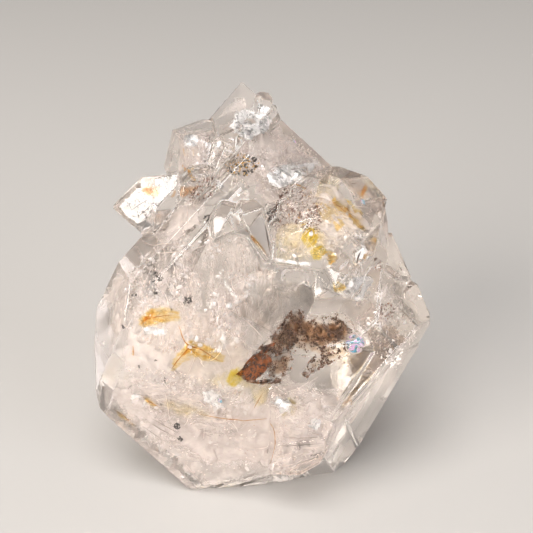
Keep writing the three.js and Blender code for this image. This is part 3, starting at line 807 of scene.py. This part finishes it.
# Bubbles in wisps drawn out upwards or aslant, and a soft, even milkiness deeper down.
upright_wisps = frosted("upright wisps", 4.2, (1.8, 1.0, 0.6), 0.44, 0.72, 0.6)
slanting_wisps = frosted("slanting wisps", 3.2, (0.7, 1.0, 2.2), 0.40, 0.70, 0.8)
milky_depth = frosted("milky depth", 6.0, (1, 1, 1), 0.05, 0.75, 0.62)
MILKY_CORE = [
    (-19, -3), (-13, -3), (-7, -5), (-3, -8), (-1, -14), (4, -15), (12, -17), (10, -20), (8, -27), (-8, -28),
    (-16, -22), (-20, -12),
]
SHEETS = {
    ("milky_depths", milky_depth): [
        ("milky core", MILKY_CORE, 7, 0),
        ("milky foot", [(-21, -13), (-8, -16), (8, -17), (10, -25), (7, -29), (-11, -30), (-20, -22)], 3, 0),
        ("milky right foot", [(0.8, -16), (8, -16), (11, -19), (9, -27), (1, -29)], 1.8, 0),
        ("milky facet at the lower left", [(-23, -14), (-18, -14.5), (-11, -22), (-14, -25), (-22, -19)], 1.2, 0),
        ("milky facet at the left", [(-24, -2), (-19, 1.5), (-17.5, -2), (-20, -6), (-24, -7)], 1.2, 0),
        ("milky shoulder", [(-17.5, 5), (-15, 9.5), (-9, 10), (-8, 5), (-13, 2)], 1.6, 0),
        ("milky tip", [(-7.4, 19.5), (-3.2, 24.8), (-1.4, 22.6), (-3, 20.6), (-5.2, 19.3)], 1, 0),
        ("milky slope", [(-1, 20), (2, 20), (9, 13.5), (7, 11.5), (1, 14)], 1.8, 0),
        ("deep milky slope", [(0, 20), (3, 20), (9.5, 13.5), (7, 11), (1, 14)], 3, 0),
        ("milky top", [(-4, 16), (0, 20), (7, 15), (8, 11), (2, 8), (-5, 9)], 3, 0),
        ("milky spur", [(0.5, 9), (8, 12), (14, 9), (15, 4), (8, 0), (1, 2)], 5, 0),
        ("milky upper spur", [(-13, 18), (-6, 19), (-5, 13), (-8, 10), (-13, 12)], 3, 0),
    ],
    ("upright_veils", upright_wisps): [
        ("left wisps", [(-19, -1), (-14, 4), (-8, 7), (-4, 5), (-3, -3), (-5, -11), (-14, -12),
            (-19, -9)], 3.5, 0.12),
        ("middle wisps", [(-9, 4), (-2, 5), (1, 0), (0, -6), (-1, -11), (-7, -12), (-10, -4)], 6, -0.1),
        ("deep wisps", [(-14, 2), (-4, 8), (6, -2), (9, -10), (0, -13), (-12, -12)], 10, 0.15),
        ("upper spur wisps", [(-12.5, 18), (-7, 18.5), (-6, 13), (-9, 11), (-12.5, 13)], 1.6, 0.1),
        ("right wisps", [(13, -1), (18, 0), (20, -6), (17, -11), (13, -8)], 2, 0.1),
    ],
    ("slanting_veils", slanting_wisps): [
        ("lower right wisps", [(3, -13), (10, -14), (14, -11), (16, -14), (10, -19), (4, -17)], 3, 0.1),
        ("foot wisps", [(-20, -13), (-12, -14), (-3, -17), (-1, -22), (-2, -27), (-10, -28),
            (-18, -22)], 2.5, 0.1),
        ("deep foot wisps", [(-18, -14), (-6, -17), (6, -18), (7, -25), (-2, -28), (-10, -28),
            (-17, -22)], 6, -0.1),
        ("seam wisps", [(0.8, -17), (7, -16.5), (9, -20), (8, -26), (1.2, -27)], 1.6, 0.1),
        ("top wisps", [(-3, 15), (0, 19), (7, 14), (8, 11), (2, 9), (-3, 10)], 1.8, 0.1),
        ("spur wisps", [(1, 9), (8, 11.5), (13, 9), (14, 4), (8, 1), (1.5, 2.5)], 2.6, 0.1),
    ],
}
for (piece, material), rows in SHEETS.items():
    wisps = []
    for name, outline, depth, slant in rows:
        wisps.append(flake(name, outline, depth, VEIL_THICKNESS, material, 0.45, 0.7, slant, fringe=2.0))
    gather(piece, wisps)

ARC_BEND = 0.13
ARC_STEPS = 6


def hairlines(outline, count, depths, lie, spread, length, width):
    """Healed cracks seen edge on: thin arcs that start anywhere in an outline and bend as they run."""
    low, high = box_of(outline)
    paths = []
    while len(paths) < count:
        across, up = random.uniform(low[0], high[0]), random.uniform(low[1], high[1])
        if not inside_outline(outline, across, up):
            continue
        heading = math.radians(lie + random.gauss(0, spread))
        bend = random.gauss(0, ARC_BEND)
        step = random.uniform(*length) / ARC_STEPS
        places = []
        for _ in range(ARC_STEPS):
            places.append((across, up))
            across += step * math.cos(heading)
            up += step * math.sin(heading)
            heading += bend
        paths.append((places, random.uniform(*depths), random.uniform(*width)))
    return paths


LEFT_BODY = [(-19, -2), (-14, 4), (-8, 6), (-3, 4), (-2, -3), (-4, -11), (-13, -12), (-18, -9)]
FOOT = [(-19, -13), (-12, -14), (-3, -16), (-1, -22), (-2, -27), (-10, -28), (-17, -22)]
RIGHT_FOOT = [(0.5, -16), (7, -16), (9, -20), (8, -26), (1, -28)]
TOP = [(-6, 18), (-4.4, 23), (-1, 20), (3, 18.5), (8.5, 13), (8, 10), (2, 8), (-4, 9)]
SLOPE = [(1, 19.5), (3, 19.2), (8.8, 13.6), (7.2, 11.8), (2, 14.5)]
UPPER_SPUR = [(-13, 18), (-6, 19), (-5, 13), (-8, 10), (-13, 12)]
FRONT_SPUR = [(0, 9), (8, 12), (14, 9), (15, 4), (8, 0), (1, 2)]
RIGHT_SIDE = [(12, -2), (19, 0), (21, -6), (17, -14), (12, -9)]
HEALED_EDGES = [
    ([(-16.6, 3.5), (-15.9, 3), (-15, 2.8), (-13.6, 3.1), (-12.1, 3.5), (-10.4, 4.3), (-8.7, 4.4)], 0.5, 0.16),
    ([(-10.6, 8.3), (-10.6, 6.5), (-10.4, 4.3)], 0.5, 0.12),
    ([(-15.4, 2.6), (-14.6, 1.7), (-12.6, 1.9), (-10.4, 2.1), (-8.2, 2.8)], 0.7, 0.12),
    ([(-15.4, 2.3), (-16.6, 0.5), (-17.9, -1.5), (-18.6, -3.4), (-18.8, -5.5)], 0.6, 0.12),
    ([(-18.9, -0.6), (-18.6, -1.3), (-18.3, -2)], 0.5, 0.12),
]
HAIRLINES = [
    (LEFT_BODY, 44, (1, 6), -60, 35, (1, 4.5), (0.04, 0.09)),
    (FOOT, 34, (1, 4), -35, 30, (1, 5), (0.04, 0.09)),
    (RIGHT_FOOT, 18, (0.8, 3), 5, 18, (1.5, 5), (0.04, 0.08)),
    (TOP, 22, (0.8, 3), 30, 50, (1, 3), (0.04, 0.08)),
    (SLOPE, 16, (0.6, 2.5), -42, 22, (1, 3.5), (0.05, 0.09)),
    (UPPER_SPUR, 16, (0.8, 3), 60, 40, (1, 3), (0.04, 0.08)),
    (FRONT_SPUR, 34, (0.8, 4), 20, 40, (1, 3.5), (0.04, 0.09)),
    (RIGHT_SIDE, 26, (0.8, 4), 65, 25, (1, 4), (0.04, 0.08)),
]
pale_lines = [line for row in HAIRLINES for line in hairlines(*row)]
gather("pale_hairlines", [threads("pale hairlines", pale_lines + HEALED_EDGES, milky)])
VEILS = [
    ("flecks behind the front face", LEFT_BODY, 1100, (2, 9), 100, (0.06, 0.2)),
    ("flecks in the foot", FOOT, 900, (1.5, 6), 140, (0.06, 0.2)),
    ("flecks right of the seam", RIGHT_FOOT, 500, (1.5, 5), 8, (0.06, 0.16)),
    ("flecks in the top", TOP, 800, (1, 4), 60, (0.05, 0.13)),
    ("flecks in the slope", SLOPE, 420, (0.6, 2.5), -45, (0.06, 0.16)),
    ("flecks in the upper spur", UPPER_SPUR, 400, (1, 3), 60, (0.05, 0.13)),
    ("flecks in the front spur", FRONT_SPUR, 700, (1.2, 4), 40, (0.05, 0.13)),
    ("flecks on the right", RIGHT_SIDE, 300, (2, 6), 60, (0.05, 0.15)),
]
for name, outline, count, depths, lie, size in VEILS:
    whole = [(outline, 1)]
    scatter(name, whole, count, depths, size, milky, 0.3, 2.0, lie=lie, clump=0.9, clump_span=1.6)

# Air in a crack no wider than a hair: a bright spark when it faces the light, and grey when it doesn't.
silver = new_material("air in a tiny crack, seen as silver")
finished(silver, {"Base Color": linear("#fffaf7"), "Metallic": 0.6, "Roughness": 0.2})
SPARKLING = [
    (LEFT_BODY, 0.26), (FOOT, 0.24), (RIGHT_FOOT, 0.1), (TOP, 0.1), (SLOPE, 0.06), (UPPER_SPUR, 0.08),
    (FRONT_SPUR, 0.12), (RIGHT_SIDE, 0.1),
]
scatter(
    "glitter", SPARKLING, 1800, (0.8, 5.0), (0.08, 0.5), silver,
    flat=0.12, stretch=1.6, clump=0.5, clump_span=2.0, tilt=0.8,
)

# ---------------------------------------------------------------- anthraxolite
# Black specks of old bitumen, the usual dirt of these crystals, alone and in clusters, with brown, gold and
# pale grains strewn among them and a few dark hairs along old growth lines.
SPECK_SPREAD = 1.3
SPECK_SPOTS = [
    (-14.6, -1.3, 12, 0.45), (-14, -1.7, 4, 0.3), (-15, -2.2, 5, 0.3), (-14.8, -3.4, 4, 0.25),
    (-17.7, -3.8, 3, 0.25), (-10.5, -4.4, 12, 0.42), (-10.9, -4.8, 4, 0.3), (-19.2, -8.2, 4, 0.25),
    (-13.6, -15.2, 5, 0.3), (-14.1, -18.4, 3, 0.2), (-11.9, -21.3, 40, 0.34), (-11.5, -23, 26, 0.28),
    (-8, 6.5, 10, 0.42), (-19.3, -13.5, 3, 0.25), (-16.9, -13.3, 3, 0.2), (-14.7, -12.6, 2, 0.2),
]


def patch(across, up, radius):
    """The outline of a small round patch, with eight corners."""
    turns = [k * math.pi / 4 for k in range(8)]
    return [(across + radius * math.cos(turn), up + radius * math.sin(turn)) for turn in turns]


# Anthraxolite is hard bitumen, coal black with a faint gloss. The gold grains are pyrite gone to rust, and
# the red ones are clay with much iron in it: both are dull.
black = mottled("anthraxolite", ["#0e0d0c", "#1d1a17", "#34302c"], 0.3, roughness=0.3)
gold_grain = mottled("gold grains", ["#7a5a20", "#b98c3a", "#dcb765"], 0.3)
red_grain = mottled("red clay crumbs", ["#30170e", "#623827", "#8c5e48"], 0.35)
SPECKS = [(patch(x, y, radius * SPECK_SPREAD), share / 100) for x, y, share, radius in SPECK_SPOTS]
CLUSTER = [
    (-5.9, 13.5), (-4.9, 14.7), (-3.4, 15.1), (-1.8, 14.4), (-1, 13.6), (-1.8, 12.5), (-3.3, 11.9), (-4.8, 12.4),
]
SPUR_EDGE = [(-0.5, 6.8), (0.2, 7.6), (1.9, 8.1), (2.5, 6.7), (1.6, 5.4), (0.2, 5.4)]
SPUR_SPECKLE = [
    (-0.1, 6.9), (1.1, 8.4), (2.5, 10.6), (4, 11), (5.9, 10.3), (7, 8.8), (7.4, 6.5), (7.1, 4.6), (5.2, 4.9),
    (3.7, 5.5), (1.9, 5.4), (0.5, 5.6),
]
REDDISH_PATCH = [
    (-9.7, 10.6), (-8.5, 11.8), (-6.8, 12.1), (-6.5, 10.7), (-7.2, 9.5), (-8.6, 8.8), (-10, 8.3), (-10.4, 9.3),
]
RIGHT_PATCH = [(14.8, -5), (16.4, -4.9), (17.6, -6.1), (16.6, -7.2), (14.9, -6.8)]
SMALL_BROWN = [(14.3, 1), (15.1, 1.2), (15.4, 0.2), (15.1, -0.7), (14.5, -0.3)]
CLUSTERED = [(CLUSTER, 0.62), (SPUR_EDGE, 0.38)]
GOLDEN = [(CLUSTER, 0.7), (SPUR_SPECKLE, 0.3)]
BROWN = [(SPUR_SPECKLE, 0.7), (REDDISH_PATCH, 0.16), (SMALL_BROWN, 0.04), (RIGHT_PATCH, 0.1)]
DARK = [(SPUR_SPECKLE, 0.9), (REDDISH_PATCH, 0.1)]
PALE = [(SPUR_SPECKLE, 0.75), (REDDISH_PATCH, 0.25)]
DUSTY = [(LEFT_BODY, 0.45), (FOOT, 0.3), (RIGHT_FOOT, 0.1), (TOP, 0.15)]
STREWN = [
    ("black specks", SPECKS, 120, (0.35, 0.6), (0.12, 0.36), black, 0.5, 0, 1),
    ("black cluster", CLUSTERED, 420, (0.5, 1.2), (0.07, 0.3), black, 0.4, 0.1, 0.5),
    ("gold grains", GOLDEN, 240, (0.5, 1.2), (0.07, 0.24), gold_grain, 0.4, 0, 1),
    ("brown speckle", BROWN, 760, (0.35, 0.7), (0.1, 0.28), red_grain, 0.5, 0, 1),
    ("dark speckle", DARK, 240, (0.35, 0.7), (0.1, 0.24), dark_grain, 0.5, 0, 1),
    ("pale grains", PALE, 420, (0.5, 1), (0.1, 0.3), milky, 0.5, 0, 1),
    ("brown dust", DUSTY, 900, (0.8, 4), (0.05, 0.15), brown_grain, 0.5, 0.6, 1.5),
]
for name, places, count, depths, size, material, flat, clump, clump_span in STREWN:
    scatter(name, places, count, depths, size, material, flat=flat, clump=clump, clump_span=clump_span)
DARK_LINES = [
    ([(-0.2, 5.5), (0.1, 4), (0.4, 2.3), (0.8, 0.6)], 0.5, 0.14),
    ([(-10.2, 11.5), (-9.9, 11.2), (-9.4, 11.5), (-9.2, 11.2)], 0.8, 0.12),
    ([(-11.4, 11.3), (-10.6, 11), (-9.9, 11.2)], 0.8, 0.1),
    ([(11, 11.2), (11.5, 11), (11.8, 11.2), (12.4, 11.1)], 0.8, 0.12),
    ([(12, 0.3), (12.3, 1.5), (12.9, 2.6)], 0.5, 0.28),
    ([(-16.1, -20.5), (-14.3, -21.6), (-12.5, -22.6)], 0.6, 0.09),
    ([(-16.9, -21), (-15.4, -22.1), (-13.4, -23.4)], 0.6, 0.09),
    ([(-15.4, -20.2), (-13.6, -21.2), (-11.6, -22.3)], 0.6, 0.08),
    ([(-18.1, 7.4), (-16.9, 8.3), (-15.7, 8.9)], 0.4, 0.08),
    ([(-17.3, 6.5), (-16.2, 7.4), (-15.3, 8.3)], 0.4, 0.08),
    ([(-16.6, 6.1), (-15.7, 6.9), (-15, 7.8)], 0.4, 0.07),
    ([(-18.9, 8.9), (-18.3, 8.3), (-17.8, 7.2)], 0.4, 0.07),
    ([(1.7, -22.6), (4, -22.9), (6.9, -22.8), (9.1, -22.4)], 0.5, 0.08),
    ([(1.9, -24), (4.7, -23.8), (7.6, -23.6), (8.6, -23.2)], 0.5, 0.08),
]
gather("dark_lines", [threads("dark lines", DARK_LINES, dark_grain)])

# ---------------------------------------------------------------- the bubble
# A disc of gas caught on a crack, with small ones like it elsewhere. Its wall is so thin that it shows the
# colours of an oil film. Those colours and its mirror brightness are painted sheen and reflection, as fixed bands
# in an opaque disc's base colour. The white ring round the large one is painted reflection too: a milky torus for
# the bright rim its gas throws back.
FLATNESS = 0.35
RIM_RADIUS = 1.3
RIM_WIDTH = 0.11
RIM_DEPTH = 2.3

# Painted sheen and reflection: a film of gas thinner than the light's own wave is mirror bright in bands of
# white, pink, violet and blue. Here these are painted as fixed bands of base colour, with a dark grey one among
# them.
painted_oil_sheen = new_material("gas film with its colours painted")
sheen = coloured(
    painted_oil_sheen,
    cloud_pattern(painted_oil_sheen, 1.0, 0.36, 0.64, thinning=0.0),
    ["#ffffff", "#d068e0", "#ffffff", "#202830", "#58c8f0", "#ffffff", "#e080e8"],
)
finished(
    painted_oil_sheen,
    {"Roughness": 0.12, "Specular IOR Level": 1.0, "Coat Weight": 1.0, "Coat Roughness": 0.05},
    {"Base Color": sheen},
)


def laid_behind(face, across, up, depth):
    """The turn and move that lay a flat body at a place behind a face, and level with that face."""
    turn = face[1].to_track_quat("Z", "Y").to_matrix().to_4x4()
    return Matrix.Translation(behind(face, across, up, depth)) @ turn


BUBBLES = [(11.8, -10.3, 2.4, 1.25), (12.9, 8.6, 1.2, 0.42), (3.7, 16.7, 1.2, 0.3), (-6.2, -17.9, 1.6, 0.35)]
discs = []
for across, up, depth, radius in BUBBLES:
    face = face_seen(across, up)
    bpy.ops.mesh.primitive_uv_sphere_add(segments=40, ring_count=24, radius=radius * MM, location=(0, 0, 0))
    disc = bpy.context.object
    disc.data.transform(laid_behind(face, across, up, depth) @ Matrix.Diagonal((1, 1, FLATNESS, 1)))
    bpy.ops.object.shade_smooth()
    disc.data.materials.append(painted_oil_sheen)
    discs.append(disc)
gather("gas_bubbles", discs)
# Painted reflection: a white milky ring at the large bubble's edge, standing in for the light its rim throws
# back.
bpy.ops.mesh.primitive_torus_add(
    major_radius=RIM_RADIUS * MM, minor_radius=RIM_WIDTH * MM, major_segments=48, minor_segments=10
)
ring = bpy.context.object
ring.name = "painted_reflection_ring"
across, up, _, _ = BUBBLES[0]
ring.data.transform(laid_behind(face_seen(across, up), across, up, RIM_DEPTH))
bpy.ops.object.shade_smooth()
ring.data.materials.append(milky)
gather("painted_reflection_ring", [ring])

# ---------------------------------------------------------------- the studio
# A matt pale floor under soft light: a square lamp low at the front left, a weaker one at the front right
# and one high over the front, in a dim grey room. None of it belongs to the object.
FLOOR_SIZE = 3.0
LIT_HEIGHT = 20 * MM
bpy.ops.mesh.primitive_plane_add(size=FLOOR_SIZE, location=(0, 0, 0))
floor = bpy.context.object
floor.name = "floor"
# Pale grey board, matt, so that it shows soft shadows and no gloss.
pale_floor = finished(new_material("pale floor"), {"Base Color": linear("#a8a4a0"), "Roughness": 0.8})
floor.data.materials.append(pale_floor)

LAMPS = [
    ("key lamp", (-500, -575, 330), 500, 11.2, "#fffaf4"),
    ("fill lamp", (650, -550, 230), 550, 5.2, "#f4f7ff"),
    ("top lamp", (-75, -330, 780), 500, 7.9, "#ffffff"),
]
for name, place, size, power, colour in LAMPS:
    bpy.ops.object.light_add(type="AREA", location=Vector(place) * MM)
    lamp = bpy.context.object
    lamp.name = name
    lamp.data.shape = "SQUARE"
    lamp.data.size = size * MM
    lamp.data.energy = power
    lamp.data.color = linear(colour)[:3]
    lamp.rotation_euler = (Vector((0, 0, LIT_HEIGHT)) - lamp.location).to_track_quat("-Z", "Y").to_euler()

world = bpy.context.scene.world or bpy.data.worlds.new("studio")
bpy.context.scene.world = world
world.use_nodes = True
room = world.node_tree.nodes["Background"]
room.inputs["Color"].default_value = linear("#bdbbb8")
room.inputs["Strength"].default_value = 0.5

# Light crosses many skins and thin sheets inside the quartz before it is out again.
cycles = bpy.context.scene.cycles
cycles.max_bounces = 24
cycles.transmission_bounces = 20
cycles.glossy_bounces = 8
cycles.transparent_max_bounces = 24
bpy.context.scene.view_settings.view_transform = "Standard"
